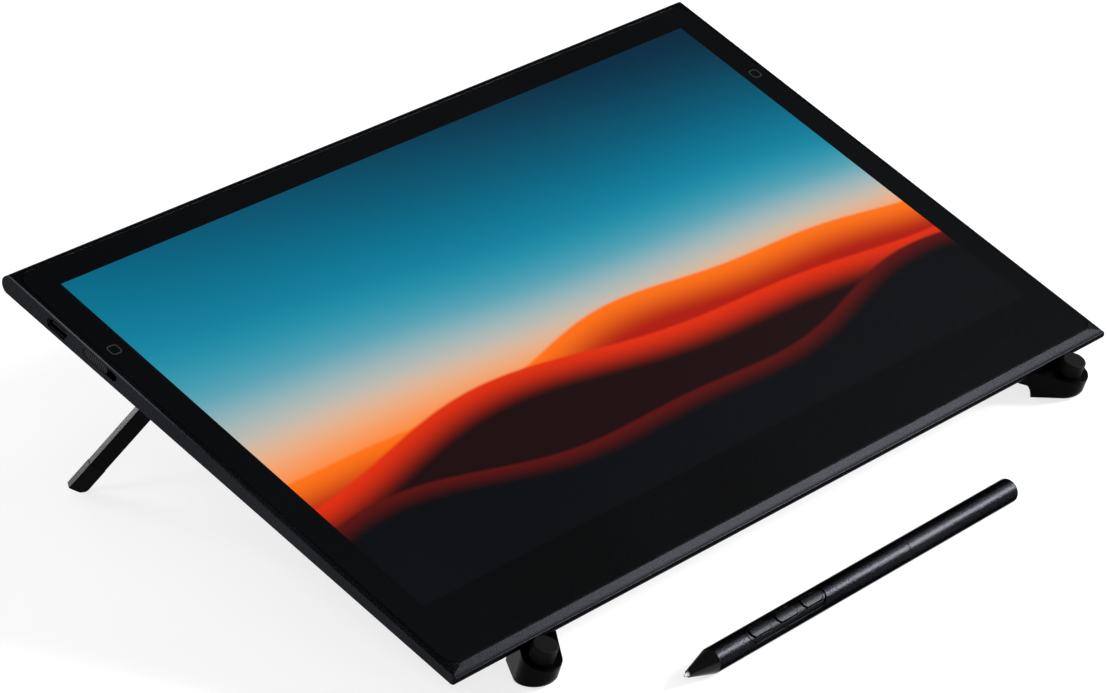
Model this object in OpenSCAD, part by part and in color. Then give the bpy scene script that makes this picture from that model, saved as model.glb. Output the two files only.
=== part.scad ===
// Pen display leaning on a folding scissor stand, with its pen on the desk in front.
// Millimetres. +X to the right, +Y to the back, +Z up.
// The origin lies on the desk, under the middle of the box round the whole set.

/* [Placing] */
// Tilt of the glass from level, in degrees
tilt = 20; // [17:0.5:23]
// Height of the middle of the glass above the desk
glass_h = 50; // [48:0.5:56]
// How far the stand sits to the right of the display's middle
stand_shift = 5; // [-8:0.5:8]

/* [Housing] */
// Width of the housing
tab_w = 319; // [312:1:330]
// Depth of the housing
tab_d = 206; // [202:1:212]
// Thickness at the back edge
back_t = 6.6; // [6.4:0.1:7.4]
// Thickness at the front edge
front_t = 4; // [3.9:0.1:4.4]
// Edge break along the flat-cut sides
side_chamfer = 0.4; // [0.2:0.1:0.6]
// Width of the step that carries the glass
ledge_w = 2.2; // [1.8:0.1:2.6]
// Thickness of the rear cover
cover_t = 0.8; // [0.6:0.1:0.9]
// Width of the rear cover's seat round the cavity
cover_lap = 2; // [1.5:0.1:2.2]
// Gap round the rear cover
cover_gap = 0.15; // [0.1:0.05:0.25]

/* [Glass and panel] */
// Thickness of the cover glass
glass_t = 0.8; // [0.6:0.05:0.9]
// Bare metal left and right of the glass
glass_side = 2; // [1.6:0.1:2.6]
// Bare metal behind the glass
glass_back = 3.6; // [3.4:0.1:5]
// Bare metal in front of the glass
glass_front = 4.4; // [3:0.1:6]
// Corner radius of the glass
glass_r = 5; // [3:0.5:8]
// Gap round the glass
glass_gap = 0.25; // [0.15:0.05:0.4]
// Thickness of the adhesive layers under the glass
bond_t = 0.2; // [0.1:0.05:0.25]
// Distance from the sides of the housing to the picture
active_side = 12.3; // [11.5:0.1:15]
// Distance from the back edge of the housing to the picture
active_back = 13.2; // [12:0.1:15]
// Distance from the front edge of the housing to the picture
active_front = 27.2; // [26:0.1:32]
// Edge of the panel beside and behind the picture
panel_edge = 3; // [2:0.1:3.4]
// Edge of the panel in front of the picture
panel_chin = 8; // [6:0.5:10]
// Thickness of the panel
panel_t = 1.2; // [1:0.05:1.25]
// Thickness of the pen sensor board
sensor_t = 0.8; // [0.6:0.05:0.85]
// Thickness of the shield plate
shield_t = 0.3; // [0.2:0.05:0.35]

/* [Boards and ports] */
// Thickness of the main board
board_t = 0.8; // [0.7:0.05:0.9]
// Depth of the main board along the back edge
board_d = 30; // [27:0.5:34]
// Width of the board's tongue behind the power key
board_tongue_w = 18; // [14:0.5:24]
// Height of the shield can on the board
can_h = 0.8; // [0.6:0.05:0.9]
// Width of a port's shell
port_w = 8.94; // [8.7:0.02:9.2]
// Height of a port's shell
port_h = 3.2; // [3.1:0.02:3.4]
// Length of a port's shell
port_l = 7.3; // [6.8:0.1:8]
// Wall of a port's shell
port_wall = 0.3; // [0.25:0.05:0.35]
// Distance from the back edge of the housing to a port's middle
port_back = 26.6; // [24:0.2:28]
// Depth of a port's mouth below the side of the housing
port_sunk = 0.4; // [0.2:0.05:0.6]
// Clearance round ports and keys in the wall
wall_clear = 0.12; // [0.1:0.02:0.2]

/* [Power key] */
// Distance from the back edge of the housing to the key slot's back end
key_back = 38.6; // [37:0.2:41]
// Length of the key slot
key_slot_l = 15.8; // [15:0.1:17]
// Height of the key slot
key_slot_h = 2.8; // [2.4:0.1:3]
// Length of the key
key_l = 11.2; // [10.4:0.1:11.6]
// Travel of the key towards the front
key_travel = 4.2; // [3.4:0.1:4.4]
// Width of the flange that keeps the key in the wall
key_flange_t = 0.9; // [0.7:0.05:1]

/* [Underside] */
// Diameter of a rubber foot
rubber_d = 9; // [7:0.5:11]
// How far a rubber foot stands out
rubber_out = 0.8; // [0.5:0.05:0.9]
// Depth of a rubber foot's seat
rubber_seat = 0.3; // [0.2:0.05:0.4]
// Distance of a rubber foot from the sides
rubber_side = 13; // [11:0.5:16]
// Distance of a rubber foot from the front and back edges
rubber_end = 14; // [12:0.5:18]
// Shank diameter of a cover screw
screw_d = 1.6; // [1.4:0.1:1.8]
// Head diameter of a cover screw
screw_head_d = 3; // [2.6:0.1:3.2]
// Head height of a cover screw
screw_head_h = 0.4; // [0.3:0.05:0.45]
// Length of a cover screw under its head
screw_l = 2.2; // [1.8:0.1:2.4]
// Distance from the panel's front edge to the first cover screw
screw_front = 6; // [4:0.5:10]
// Distance from the power key's slot to the last cover screw
screw_key_gap = 20; // [16:0.5:30]

/* [Stand arms] */
// Distance of the stop knobs in from the sides of the housing
stop_side = 28.4; // [26:0.2:32]
// Angle of each arm from the display's width, in degrees
arm_angle = 30.9; // [30:0.1:33]
// Length of an arm from the pivot to its leg hinge
arm_rear = 132; // [126:0.5:136]
// Width of an arm
arm_w = 13; // [12:0.2:14]
// Height of an arm
arm_t = 8.4; // [8.2:0.1:9]
// Height of the neck between a foot and its arm
neck_t = 6.4; // [6:0.1:7]
// Width of the neck
neck_w = 10.6; // [9:0.2:11.4]
// Length of the neck from the stop knob to the arm's bend
neck_l = 40; // [36:1:44]
// Full stretch of an arm between its halved middle and its folded leg
lap_gap = 2.5; // [2:0.1:6]
// Radius of the pivot's hub
hub_r = 11; // [9:0.5:13]
// Thickness of the arm over a folded leg
arm_skin = 1.4; // [1.2:0.1:1.5]
// Length of the pads under the display
pad_l = 26; // [20:1:32]
// Width of the pads under the display
pad_w = 8; // [6:0.5:10]
// How far the pads stand out of the arms
pad_t = 1.2; // [1.1:0.05:1.5]
// Depth of the pads' seats
pad_seat = 0.5; // [0.4:0.05:0.6]
// Distance from the pivot to the middle of a pad
pad_reach = 92; // [88:1:96]

/* [Pivot] */
// Diameter of the pivot pin
pivot_d = 6; // [5:0.2:7]
// Diameter of the pivot pin's head and cap
pivot_head_d = 10; // [9:0.2:12]
// Thickness of the pivot pin's head and cap
pivot_head_t = 1; // [0.8:0.1:1.2]
// Thickness of the washer between the arms
washer_t = 0.4; // [0.3:0.05:0.6]
// Radial running clearance of pins
pin_clear = 0.05; // [0.03:0.01:0.08]

/* [Feet] */
// Radius of a foot round its stop knob
foot_r = 6.4; // [6:0.1:6.8]
// Flare of a foot's lower edge from upright, in degrees
foot_flare = 30; // [26:1:34]
// Edge radius under a foot
foot_edge = 2.6; // [2:0.1:3]
// Length of a foot behind its stop knob
foot_l = 10.5; // [9.5:0.1:11.5]
// Direction of a foot and its neck from the display's width, in degrees
foot_angle = 54; // [50:0.5:58]
// Gap between the top of a foot and the display's underside
foot_gap = 0.6; // [0.4:0.05:0.9]
// Radius of the hollow curve behind a foot
foot_cove = 6.4; // [5.8:0.1:6.8]
// Inset of a sole from the foot's edge
sole_inset = 2.2; // [2:0.1:2.8]
// Thickness of a sole
sole_t = 1.6; // [1.4:0.1:1.8]
// How far a sole stands out of its foot
sole_out = 0.4; // [0.3:0.05:0.6]
// Radius of a stop knob
knob_r = 4; // [3.6:0.1:4.4]
// Height of a stop knob above its foot
knob_h = 5; // [4.4:0.1:5.6]
// Edge radius of a stop knob
knob_edge = 0.5; // [0.3:0.1:0.8]
// Gap between a stop knob and the display's front edge
knob_gap = 0.4; // [0.3:0.05:0.6]
// Diameter of a stop knob's stem
stem_d = 4; // [3.4:0.1:4.4]
// Length of a stop knob's stem
stem_l = 3; // [2.6:0.1:3.4]

/* [Rear legs] */
// Angle between a leg and the rear end of its arm, in degrees
leg_open = 64; // [62:0.5:67]
// Thickness of a leg, across its arm
leg_w = 2.6; // [2.4:0.1:3]
// Depth of a leg, along its arm
leg_t = 6.1; // [5.8:0.1:6.4]
// Side clearance of a leg in its arm
leg_clear = 0.3; // [0.25:0.05:0.4]
// Diameter of a leg's hinge pin
hinge_d = 3; // [2.6:0.1:3.2]
// Length of a leg's rubber tip
tip_l = 11.5; // [10.5:0.5:13]
// Radius of the tip's inner corner, which stands on the desk
tip_r = 2.5; // [2:0.1:2.8]
// How far the tip stands out of the leg's faces
tip_out = 0.1; // [0.05:0.05:0.15]
// Length of the tenon that holds the tip
tenon_l = 8; // [6:0.5:10]

/* [Pen] */
// Length of the pen
pen_l = 161; // [156:0.5:166]
// Diameter of the pen
pen_d = 8.15; // [7.9:0.05:8.5]
// Wall of the pen's barrels
pen_wall = 0.85; // [0.75:0.05:0.95]
// Place of the pen's middle to the right of the display's middle
pen_x = -19.8; // [-30:0.5:30]
// Distance of the pen's middle in front of the display's middle
pen_y = 131.9; // [128:0.1:145]
// Turn of the pen on the desk, in degrees
pen_yaw = 0.6; // [-2:0.1:2]
// Roll of the pen's buttons towards the front, in degrees
pen_roll = 31; // [0:1:60]
// Length from the nib's point to the end of the nose
nose_l = 12.1; // [11:0.1:13]
// Radius of the nose's small end
nose_tip_r = 1.15; // [1.1:0.05:1.3]
// Length of nib that shows
nib_out = 1.8; // [1.4:0.1:2.2]
// Diameter of the nib
nib_d = 1.6; // [1.4:0.05:1.6]
// Length of the nib
nib_l = 20; // [19.5:0.1:21]
// Travel of the nib into the pen
nib_travel = 0.4; // [0.2:0.05:0.4]
// Length from the nib's point to the barrel seam
seam_x = 105; // [100:0.5:112]
// Edge break on both sides of the barrel seam
seam_break = 0.15; // [0.1:0.05:0.25]
// Length of the tail cap
tail_l = 2.6; // [2:0.1:3.4]
// Edge radius of the tail cap
tail_edge = 1; // [0.6:0.1:1.4]
// Length of the spigots that join the pen's parts
spigot_l = 4; // [3:0.5:5]
// Length from the nib's point to the front button's middle
button_x = 32.8; // [32.2:0.1:34]
// Distance from button to button
button_pitch = 12.3; // [11.5:0.1:12.5]
// Length of a button
button_l = 9; // [8:0.1:9.4]
// Width of a button
button_w = 3.6; // [3:0.1:3.8]
// Length cut off a button's corners
button_cut = 1.1; // [0.8:0.1:1.3]
// How far a button stands out of the barrel
button_out = 0.3; // [0.2:0.05:0.4]
// Travel of a button
button_travel = 0.3; // [0.2:0.05:0.3]
// Gap round a button
button_gap = 0.2; // [0.15:0.05:0.25]
// Length of the button panel
panel_l = 36.4; // [35.5:0.1:38]
// Width of the button panel
panel_w = 5.8; // [5.4:0.1:6.2]
// Gap round the button panel
panel_gap = 0.4; // [0.2:0.05:0.5]

/* [Hidden] */
$fn = 64;

// Room for cutters to run past a face
over = 1;
// Larger than any part of the set
huge = 400;

// Wedge of the housing: the underside leans less than the glass
wedge = atan((back_t - front_t) / tab_d);
slope = tan(wedge);
mid_t = (back_t + front_t) / 2;
lean = tilt - wedge;
// Noses just cross the top and the underside
nose_over = 0.02;
back_r = back_t / (1 + slope + 1 / cos(wedge));
front_r = front_t / (1 - slope + 1 / cos(wedge));

// Layers under the glass
bond_z = -glass_t - bond_t;
panel_z = bond_z - panel_t;
sensor_z = panel_z - sensor_t;
shield_z = sensor_z - shield_t;

// Half widths and ends of the glass, its pocket and the cavity
glass_x = tab_w / 2 - glass_side;
glass_y0 = -tab_d / 2 + glass_front;
glass_y1 = tab_d / 2 - glass_back;
cavity_inset = ledge_w - glass_gap;
cavity_x = glass_x - cavity_inset;
cavity_y0 = glass_y0 + cavity_inset;
cavity_y1 = glass_y1 - cavity_inset;
cavity_r = glass_r - cavity_inset;

// Panel, round the picture
panel_x = tab_w / 2 - active_side + panel_edge;
panel_y0 = -tab_d / 2 + active_front - panel_chin;
panel_y1 = tab_d / 2 - active_back + panel_edge;

// Main board, lying on the rear cover
board_gap = 0.4;
board_x = cavity_x - board_gap;
board_y1 = cavity_y1 - board_gap;
board_y0 = board_y1 - board_d;
board_r = cavity_r;
board_top = cover_t + board_t;
flex_out = 1.6;
flex_land = 4;
flex_y1 = panel_y1 + flex_out;
port_y = tab_d / 2 - port_back;
port_mid = board_top + port_h / 2;
port_mouth = tab_w / 2 - port_sunk;

// Power key, sliding in the left wall
key_slot_y1 = tab_d / 2 - key_back;
key_slot_y0 = key_slot_y1 - key_slot_l;
key_end_gap = (key_slot_l - key_l - key_travel) / 2;
key_y1 = key_slot_y1 - key_end_gap;
key_flange_lap = 0.25;
key_flange_h = key_slot_h + 2 * key_flange_lap;
key_mid = board_top + wall_clear + key_flange_h / 2;
key_flange_l = key_l + 2 * key_travel + 2 * key_flange_lap;
key_face = tab_w / 2 - side_chamfer / 4;
key_peg_l = 1.6;
key_peg_h = 0.8;
key_peg_out = 0.9;
switch_gap = 0.3;
switch_w = 3;
switch_x = cavity_x - wall_clear - key_flange_t - switch_gap;

// Bosses for the cover screws along both sides, from the panel's front corner to the power key
boss_gap = 0.7;
boss_w = cavity_x - panel_x - boss_gap;
boss_l = 5;
boss_over = 0.3;
boss_top = cover_t + screw_l + boss_over;
boss_x = cavity_x - boss_w / 2;
boss_y0 = panel_y0 + screw_front;
boss_y1 = key_slot_y0 - screw_key_gap;
boss_ys = [boss_y0, (boss_y0 + boss_y1) / 2, boss_y1];

// Stand: heights are measured from the display's underside
under_y0 = mid_t * sin(tilt);
under_z0 = glass_h - mid_t * cos(tilt);
knob_x = tab_w / 2 - stop_side;
knob_y = -(tab_d / 2 + knob_gap + knob_r);
bend_x = knob_x - neck_l * cos(foot_angle);
bend_y = knob_y + neck_l * sin(foot_angle);
arm_front = bend_x / cos(arm_angle);
pivot_y = bend_y + bend_x * tan(arm_angle);
arm_top = -pad_t;
arm_bottom = -pad_t - arm_t;
lap_t = (arm_t - washer_t) / 2;
foot_top = -foot_gap;
pivot_head_gap = 0.1;

// Heights above the desk, and places along the desk before the origin is set
function desk_z(y, z) = under_z0 + y * sin(lean) + z * cos(lean);
function desk_y(y, z) = under_y0 + y * cos(lean) - z * sin(lean);
foot_z = -desk_z(knob_y, 0) / cos(lean);
foot_y = desk_y(knob_y, foot_z);
foot_h = desk_z(knob_y, foot_top) + foot_l * tan(lean) + knob_r;
foot_turn = atan2(sin(foot_angle) * cos(lean), cos(foot_angle));
neck_climb = tan(lean) * sin(foot_turn);
neck_drop = (pad_t + neck_t) / cos(lean);
cove_x = foot_l + foot_cove;
cove_z = cove_x * neck_climb - foot_z / cos(lean) - neck_drop - foot_cove;

// Leg: rise of the arm, fall of the leg and rise of its outer face for each millimetre
arm_rise = sin(arm_angle) * sin(lean);
leg_fall = sin(leg_open) * cos(lean) - cos(leg_open) * arm_rise;
face_rise = sin(leg_open) * arm_rise + cos(leg_open) * cos(lean);
hinge_z = -(pad_t + arm_skin + leg_clear + leg_t / 2);
hinge_h = desk_z(pivot_y + arm_rear * sin(arm_angle), hinge_z);
tip_half = leg_t / 2 + tip_out;
leg_len = tip_r + (hinge_h - tip_r - face_rise * (tip_half - tip_r)) / leg_fall;
slot_w = leg_w + 2 * leg_clear + 2 * tip_out;
slot_front = arm_rear - leg_len - 2 * leg_clear;
lap_reach = slot_front - lap_gap;
slot_back = arm_rear + leg_t / 2 / sin(leg_open) + (hinge_z - arm_bottom) / tan(leg_open) + leg_clear;
tenon_w = leg_w / 2;
tenon_t = leg_t / 2;
tenon_gap = 0.05;

// Ends of the whole set along Y: the pen in front, the display's back nose or a leg behind
pen_r = pen_d / 2;
pen_bore = pen_r - pen_wall;
set_front = -pen_y - (pen_l / 2 - nose_l) * abs(sin(pen_yaw)) - pen_r;
nose_reach = (tab_d / 2 - back_r - nose_over) * cos(tilt) + back_r * sin(tilt) + back_r + nose_over;
leg_run = cos(leg_open) * sin(arm_angle) * cos(lean) + sin(leg_open) * sin(lean);
face_run = sin(leg_open) * sin(arm_angle) * cos(lean) - cos(leg_open) * sin(lean);
leg_side_run = cos(arm_angle) * cos(lean) * (leg_w / 2 + tip_out);
hinge_run = desk_y(pivot_y + arm_rear * sin(arm_angle), hinge_z);
leg_reach = hinge_run + leg_len * leg_run + tip_half * face_run + leg_side_run;
set_back = max(nose_reach, leg_reach);
origin_y = (set_back + set_front) / 2;

// Pen inner places, from the nib's point
nose_x0 = nib_out;
nose_wall = 3;
nose_bore_x = nose_l - nose_wall;
coil_gap = 0.4;
coil_x0 = nose_bore_x + coil_gap;
coil_l = 9;
coil_r = 2.3;
ferrite_r = 1.55;
ferrite_gap = 0.05;
nib_clear = 0.1;
nib_end_gap = 0.3;
sensor_x0 = nib_l + nib_travel + nib_end_gap;
sensor_l = 5;
pen_board_gap = 1;
pen_board_x0 = sensor_x0 + sensor_l + pen_board_gap;
pen_board_l = seam_x - spigot_l - 2 * pen_board_gap - pen_board_x0;
pen_board_t = 0.8;
bore_clear = 0.06;
pen_board_w = 2 * sqrt(pow(pen_bore - bore_clear, 2) - pow(pen_board_t / 2, 2));
switch_h = 0.5;
button_foot_z = pen_board_t / 2 + switch_h + button_travel;
flange_h = 0.5;
flange_lap = 0.4;
panel_x0 = button_x + button_pitch - panel_l / 2;
panel_deep = 0.15;

module tab() {
  translate([0, -origin_y, glass_h]) rotate([tilt, 0, 0]) children();
}

module under() {
  tab() translate([0, 0, -mid_t]) rotate([-wedge, 0, 0]) children();
}

module stand() {
  under() translate([stand_shift, pivot_y, 0]) children();
}

// Along an arm: +X runs to the arm's foot, side 1 is the arm of the right foot
module along(side) {
  stand() rotate([0, 0, side > 0 ? -arm_angle : 180 + arm_angle]) children();
}

// Along a leg from its hinge: +X runs down the leg, +Z to its inner face
module leg_frame(side) {
  along(side) translate([-arm_rear, 0, hinge_z]) rotate([0, 180 - leg_open, 0]) children();
}

// Along a foot's top from its stop knob: +X runs back along the neck
module knob_frame(side) {
  under() translate([stand_shift + side * knob_x, knob_y, 0])
    rotate([0, 0, side > 0 ? 180 - foot_angle : foot_angle]) children();
}

// Along a foot on the desk, from where the knob's axis meets it: +X runs back
module foot_frame(side) {
  translate([stand_shift + side * knob_x, foot_y - origin_y, 0])
    rotate([0, 0, side > 0 ? 180 - foot_turn : foot_turn]) children();
}

// Along the pen: +X runs from the nib to the tail, +Z through the buttons
module pen_frame() {
  translate([pen_x, -pen_y - origin_y, pen_r]) rotate([0, 0, pen_yaw])
    translate([-pen_l / 2, 0, 0]) rotate([pen_roll, 0, 0]) children();
}

// Flat plate with round corners, from z0 to z1
module plate(x, y0, y1, r, z0, z1) {
  translate([0, 0, z0]) linear_extrude(z1 - z0) union() {
    translate([-x + r, y0]) square([2 * (x - r), y1 - y0]);
    translate([-x, y0 + r]) square([2 * x, y1 - y0 - 2 * r]);
    for (sx = [-1, 1], y = [y0 + r, y1 - r]) translate([sx * (x - r), y]) circle(r);
  }
}

// Bar with half-round ends along X, standing on z0
module stadium(l, w, z0, h) {
  translate([0, 0, z0]) linear_extrude(h) union() {
    square([l - w, w], center = true);
    for (s = [-1, 1]) translate([s * (l - w) / 2, 0]) circle(w / 2);
  }
}

// Round bar along X
module rod(x0, x1, r) {
  translate([x0, 0, 0]) rotate([0, 90, 0]) cylinder(r = r, h = x1 - x0);
}

// Slab between the glass plane and the underside, with round noses in front and behind
module wedge_profile() {
  reach = tab_d / 2 + over;
  back_c = tab_d / 2 - back_r - nose_over;
  front_c = -tab_d / 2 + front_r + nose_over;
  intersection() {
    polygon([[-reach, 0], [reach, 0], [reach, -mid_t - reach * slope], [-reach, -mid_t + reach * slope]]);
    union() {
      translate([front_c, -2 * back_t]) square([back_c - front_c, 3 * back_t]);
      translate([back_c, -back_r]) circle(back_r + nose_over);
      translate([front_c, -front_r]) circle(front_r + nose_over);
    }
  }
}

// Edge break along a side's upper edge
module side_break(side) {
  c = side_chamfer * sqrt(2);
  translate([side * tab_w / 2, 0, 0]) rotate([0, 45, 0]) cube([c, tab_d + over, c], center = true);
}

// Mouth of a port: bar with half-round ends across a side wall, centred on the port
module port_bar(side, grow, x0, x1) {
  w = port_w + 2 * grow;
  h = port_h + 2 * grow;
  translate([side * x0, port_y, port_mid]) rotate([0, side * 90, 0]) rotate([0, 0, 90])
    stadium(w, h, 0, x1 - x0);
}

// Bar with half-round ends through the left wall
module key_bar(l, h, y_mid, x0, x1) {
  translate([-x0, y_mid, key_mid]) rotate([0, -90, 0]) rotate([0, 0, 90]) stadium(l, h, 0, x1 - x0);
}

module cover_outline(grow, z0, z1) {
  plate(cavity_x + cover_lap + grow, cavity_y0 - cover_lap - grow, cavity_y1 + cover_lap + grow,
        cavity_r + cover_lap + grow, z0, z1);
}

module at_screws() {
  for (sx = [-1, 1], y = boss_ys) translate([sx * boss_x, y, 0]) children();
}

module at_rubber_feet() {
  for (sx = [-1, 1], sy = [-1, 1])
    translate([sx * (tab_w / 2 - rubber_side), sy * (tab_d / 2 - rubber_end), 0]) children();
}

module housing() {
  color("#26282d") difference() {
    union() {
      difference() {
        tab() difference() {
          rotate([90, 0, 90]) linear_extrude(tab_w, center = true) wedge_profile();
          for (s = [-1, 1]) side_break(s);
          plate(glass_x + glass_gap, glass_y0 - glass_gap, glass_y1 + glass_gap,
                glass_r + glass_gap, bond_z, over);
          plate(cavity_x, cavity_y0, cavity_y1, cavity_r, -huge / 2, over);
        }
        under() cover_outline(cover_gap, -over, cover_t);
      }
      under() for (sx = [-1, 1], y = boss_ys)
        translate([sx * boss_x - (sx < 0 ? over : 0) - boss_w / 2, y - boss_l / 2, cover_t])
          cube([boss_w + over, boss_l, boss_top - cover_t]);
    }
    under() {
      for (s = [-1, 1]) {
        port_bar(s, wall_clear, cavity_x - over, tab_w / 2 + over);
        port_bar(s, port_sunk, port_mouth, tab_w / 2 + over);
      }
      key_bar(key_slot_l, key_slot_h, (key_slot_y0 + key_slot_y1) / 2, cavity_x - over, tab_w / 2 + over);
      at_screws() cylinder(d = screw_d + 2 * bore_clear, h = boss_top + over);
    }
  }
}

module rear_cover() {
  color("#1e2024") under() difference() {
    cover_outline(0, 0, cover_t);
    at_rubber_feet() translate([0, 0, -over]) cylinder(d = rubber_d + 2 * bore_clear, h = over + rubber_seat);
    at_screws() {
      translate([0, 0, -over]) cylinder(d = screw_d + 2 * bore_clear, h = 2 * over + cover_t);
      translate([0, 0, -over]) cylinder(d = screw_head_d + 2 * bore_clear, h = over + screw_head_h);
    }
  }
}

module cover_glass() {
  color("#0b0c0f") tab() plate(glass_x, glass_y0, glass_y1, glass_r, -glass_t, 0);
}

module glass_adhesive() {
  color("#101010") tab() difference() {
    plate(glass_x, glass_y0, glass_y1, glass_r, bond_z, -glass_t);
    plate(cavity_x, cavity_y0, cavity_y1, cavity_r, bond_z - over, over);
  }
}

module panel_layer(z0, z1) {
  tab() translate([-panel_x, panel_y0, z0]) cube([2 * panel_x, panel_y1 - panel_y0, z1 - z0]);
}

module optical_bond() {
  color("#c8d0d8") panel_layer(bond_z, -glass_t);
}

module display_panel() {
  color("#1f6f96") panel_layer(panel_z, bond_z);
}

module pen_sensor_board() {
  color("#1f5a34") panel_layer(sensor_z, panel_z);
}

module shield_plate() {
  color("#8f9296") panel_layer(shield_z, sensor_z);
}

// Board along the back edge, with a tongue to the power key
module main_board() {
  tongue_y0 = key_slot_y0 - key_travel;
  color("#174a2c") under() translate([0, 0, cover_t]) linear_extrude(board_t) polygon([
    [board_x, board_y1 - board_r],
    [board_x, board_y0],
    [-board_x + board_tongue_w, board_y0],
    [-board_x + board_tongue_w, tongue_y0],
    [-board_x, tongue_y0],
    [-board_x, board_y1 - board_r],
    [-board_x + board_r, board_y1],
    [board_x - board_r, board_y1]
  ]);
}

module board_shield() {
  can_l = 60;
  can_edge = 4;
  can_y0 = board_y0 + can_edge;
  can_y1 = flex_y1 - flex_land - can_edge / 4;
  color("#b9bcc0") under() translate([-can_l / 2, can_y0, board_top]) cube([can_l, can_y1 - can_y0, can_h]);
}

// Flat cable: leaves the panel's back edge, turns down and lies on the board
module panel_flex() {
  flex_t = 0.2;
  flex_w = 48;
  top = mid_t + panel_y1 * slope + (panel_z + bond_z) / 2;
  color("#a06a2c") under() rotate([90, 0, 90]) linear_extrude(flex_w, center = true) union() {
    translate([panel_y1 + bore_clear, top - flex_t]) square([flex_out - bore_clear, flex_t]);
    translate([flex_y1 - flex_t, board_top]) square([flex_t, top - board_top]);
    translate([flex_y1 - flex_land, board_top]) square([flex_land, flex_t]);
  }
}

// Metal shell with a tongue and a closed back
module usb_port(side) {
  tongue_w = 6.7;
  tongue_t = 0.7;
  x1 = port_mouth;
  x0 = x1 - port_l;
  color("#7d8086") under() union() {
    difference() {
      port_bar(side, 0, x0, x1);
      port_bar(side, -port_wall, x0 + over, x1 + over);
    }
    translate([side * (x0 + over / 2 + (port_l - over) / 2), port_y, port_mid])
      cube([port_l - over, tongue_w, tongue_t], center = true);
  }
}

module usb_port_left() {
  usb_port(-1);
}

module usb_port_right() {
  usb_port(1);
}

// Key bar in the slot, flange behind the wall and a peg that works the switch
module power_slider() {
  y_mid = key_y1 - key_l / 2;
  inner = cavity_x - wall_clear;
  color("#2b2d31") under() union() {
    key_bar(key_l, key_slot_h - 2 * wall_clear, y_mid, inner - key_flange_t / 2, key_face);
    translate([-inner, y_mid - key_flange_l / 2, key_mid - key_flange_h / 2])
      cube([key_flange_t, key_flange_l, key_flange_h]);
    translate([-inner + key_flange_t / 2, y_mid - key_peg_l / 2, key_mid - key_peg_h / 2])
      cube([key_flange_t / 2 + switch_gap + key_peg_out, key_peg_l, key_peg_h]);
  }
}

// Slide switch on the board, with a groove for the key's peg
module power_switch() {
  y_mid = key_y1 - key_l / 2;
  groove = key_peg_h + 2 * switch_gap;
  wall = 1.2;
  groove_l = key_peg_l + key_travel + 2 * switch_gap;
  y0 = y_mid - key_peg_l / 2 - key_travel - switch_gap;
  height = key_mid + key_peg_h / 2 + switch_gap + wall / 2 - board_top;
  color("#3a3a3c") under() difference() {
    translate([-switch_x, y0 - wall, board_top]) cube([switch_w, groove_l + 2 * wall, height]);
    translate([-switch_x - over, y0, key_mid - groove / 2])
      cube([over + key_peg_out + switch_gap, groove_l, groove]);
  }
}

// Sensing film under an outlined key on the glass border, inside the power key's flange
module touch_key(side) {
  key_mark_back = 45.2;
  key_mark = 5;
  edge = 0.2;
  x0 = panel_x + edge;
  x1 = cavity_x - wall_clear - key_flange_t - edge;
  color("#6a5a2c") tab() translate([side > 0 ? x0 : -x1, tab_d / 2 - key_mark_back - key_mark / 2, bond_z])
    cube([x1 - x0, key_mark, bond_t]);
}

module touch_key_left() {
  touch_key(-1);
}

module touch_key_right() {
  touch_key(1);
}

module housing_screws() {
  color("#4a4c50") under() at_screws() union() {
    cylinder(d = screw_head_d, h = screw_head_h);
    cylinder(d = screw_d, h = screw_head_h + screw_l);
  }
}

module rubber_feet() {
  color("#151515") under() at_rubber_feet()
    translate([0, 0, -rubber_out]) cylinder(d = rubber_d, h = rubber_out + rubber_seat);
}

// Half of the shape that rounds a foot's lower edge: an arc and a flared wall
module foot_half() {
  arc_x = foot_r + foot_edge * (tan(foot_flare) - 1 / cos(foot_flare));
  arc_z = sole_out + foot_edge;
  wall_x = arc_x + foot_edge * cos(foot_flare);
  wall_z = arc_z - foot_edge * sin(foot_flare);
  union() {
    polygon([
      [0, sole_out],
      [arc_x, sole_out],
      [wall_x, wall_z],
      [wall_x + (foot_h - wall_z) * tan(foot_flare), foot_h],
      [0, foot_h]
    ]);
    intersection() {
      translate([arc_x, arc_z]) circle(foot_edge + nose_over);
      translate([0, sole_out]) square(2 * foot_r);
    }
  }
}

// Hollow curve from the back of a foot to the neck's underside
module foot_hollow(side) {
  difference() {
    foot_frame(side) rotate([90, 0, 0]) linear_extrude(neck_w, center = true) difference() {
      translate([foot_l - over, cove_z]) square([foot_cove + over, foot_h]);
      translate([cove_x, cove_z]) circle(foot_cove);
    }
    under() translate([-huge / 2, -huge / 2, arm_top - over]) cube(huge);
  }
}

// Foot at an arm's front end: walls square to the display, level sole, round lower edge
module foot_body(side) {
  depth = -foot_z + foot_l;
  intersection() {
    knob_frame(side) translate([0, 0, foot_top - depth]) linear_extrude(depth) union() {
      circle(foot_r);
      translate([0, -foot_r]) square([2 * foot_l, 2 * foot_r]);
    }
    foot_frame(side) union() {
      rotate_extrude() foot_half();
      rotate([90, 0, 90]) linear_extrude(foot_l) union() {
        foot_half();
        mirror([1, 0]) foot_half();
      }
    }
  }
}

module pads_at(side, grow, z0, z1) {
  along(side) for (s = [-1, 1]) translate([s * pad_reach, 0, 0])
    stadium(pad_l + 2 * grow, pad_w + 2 * grow, z0, z1 - z0);
}

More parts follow.
